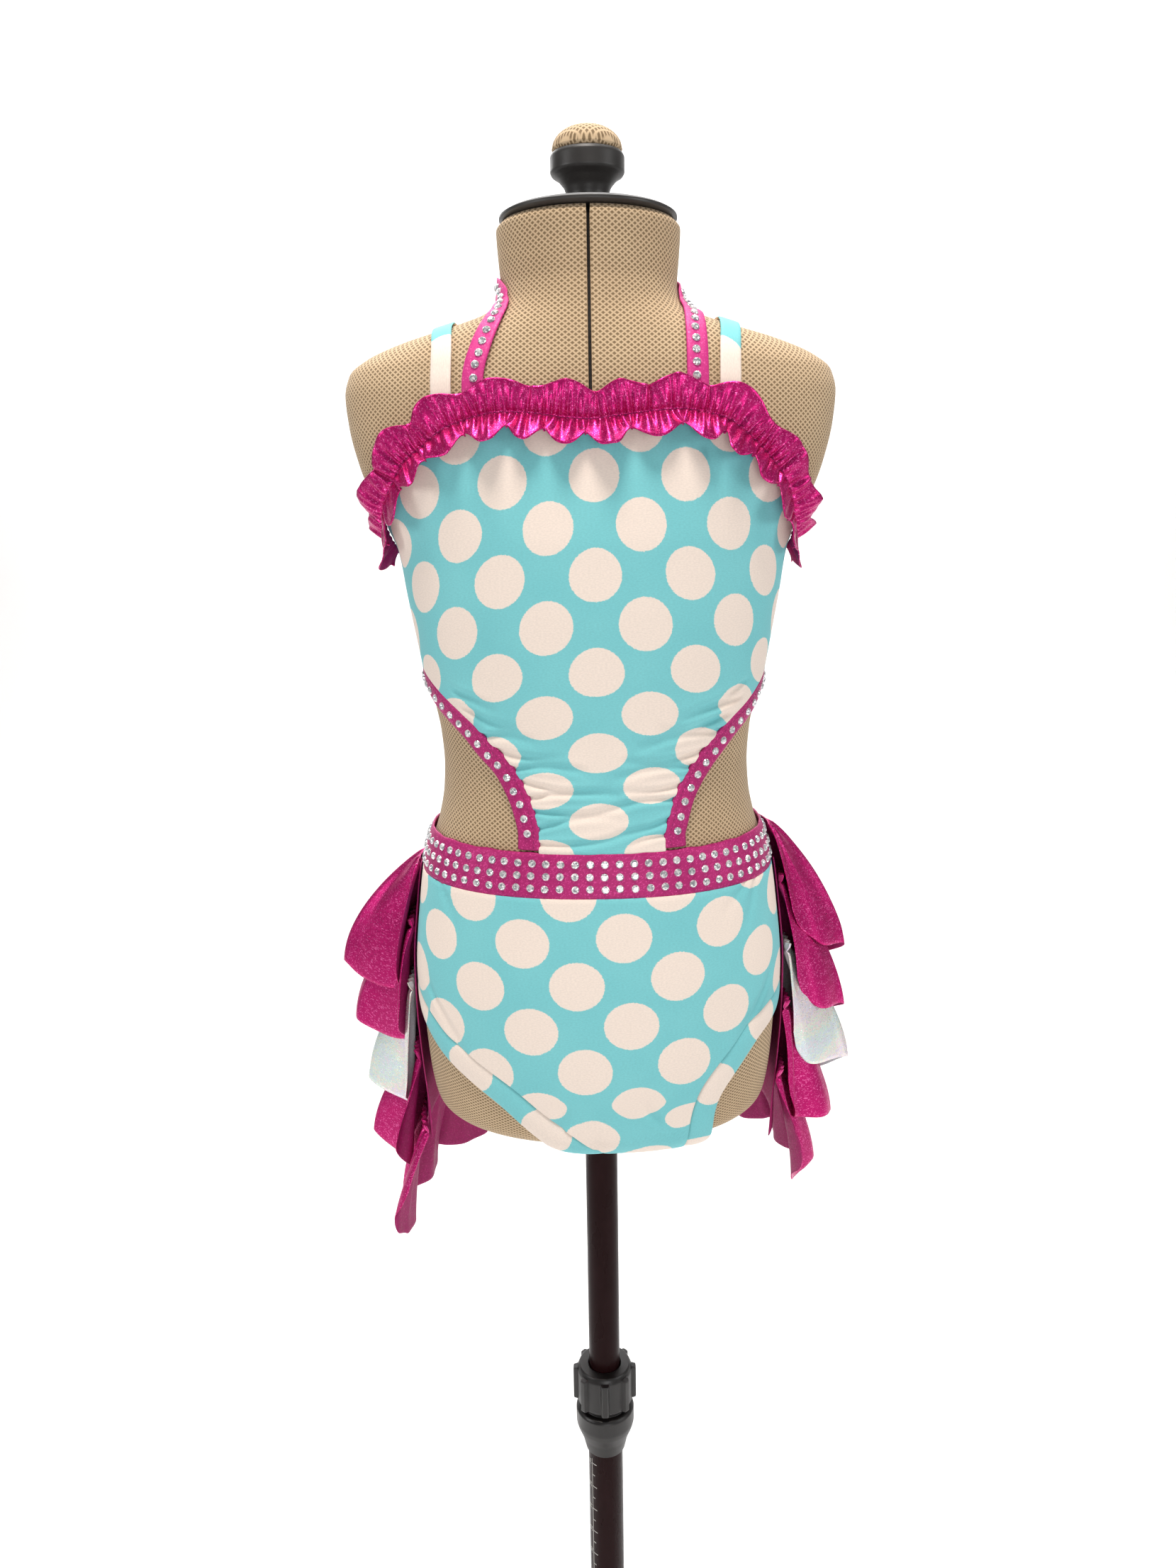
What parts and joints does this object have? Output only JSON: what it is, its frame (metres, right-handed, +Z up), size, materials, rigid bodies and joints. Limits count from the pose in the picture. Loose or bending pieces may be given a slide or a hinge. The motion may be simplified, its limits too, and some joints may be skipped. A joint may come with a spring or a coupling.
{
  "type": "dance costume on a limbless dress form",
  "caption": "Child's dance costume in dotted stretch knit with gathered frills and a tiered bustle, on a limbless dress form with a telescoping stand.",
  "frame": {"origin": "on the floor under the pole's axis, at the middle of the part's footprint", "axes": "+Z up along the pole, -Y towards the front of the costume, +X to the viewer's right"},
  "size_m": [0.3802, 0.3816, 1.2663],
  "materials": {
    "dot_knit": "brushed stretch knit, aqua with off-white dots",
    "magenta_foil": "foiled stretch knit with a fine metallic mist",
    "pink_knit": "plain bright pink stretch knit",
    "silver_foil": "holographic silver foiled stretch knit",
    "form_jersey": "coarse beige stretch mesh over the form",
    "black_plastic": "moulded charcoal plastic",
    "stand_enamel": "near-black enamelled steel tube",
    "rhinestone": "foil-backed cut glass"
  },
  "bodies": {
    "stand": {"base": "stand_enamel", "lower_tube": "stand_enamel", "collar_body": "black_plastic"},
    "nut": {"collar_nut": "black_plastic"},
    "column": {"upper_tube": "stand_enamel"},
    "form": {"neck_cap": "black_plastic", "neck_knob": "black_plastic", "form_body": "form_jersey", "knob_pad": "form_jersey", "bodice_front": "dot_knit", "bodice_back": "dot_knit", "brief_front": "dot_knit", "brief_back": "dot_knit", "leg_band_left": "dot_knit", "leg_band_right": "dot_knit", "shoulder_strap_left": "dot_knit", "shoulder_strap_right": "dot_knit", "binding_left": "magenta_foil", "binding_right": "magenta_foil", "waistband": "magenta_foil", "halter_strap": "pink_knit", "neckline_ruffle": "magenta_foil", "bustle_base": "magenta_foil", "bustle_tier_1": "magenta_foil", "bustle_tier_2": "magenta_foil", "bustle_tier_3": "silver_foil", "bustle_tier_4": "magenta_foil", "bustle_tier_5": "magenta_foil"}
  },
  "joints": [
    {"name": "nut_turn", "type": "hinge", "parent": "stand", "child": "nut", "pos_m": [0, 0, 0.44], "axis": [0, 0, 1], "range_deg": [0, 270]},
    {"name": "height_slide", "type": "slide", "parent": "stand", "child": "column", "axis": [0, 0, 1], "range_m": [-0.18, 0.12]},
    {"name": "form_swivel", "type": "hinge", "parent": "column", "child": "form", "pos_m": [0, 0, 0.7], "axis": [0, 0, 1], "continuous": true}
  ]
}
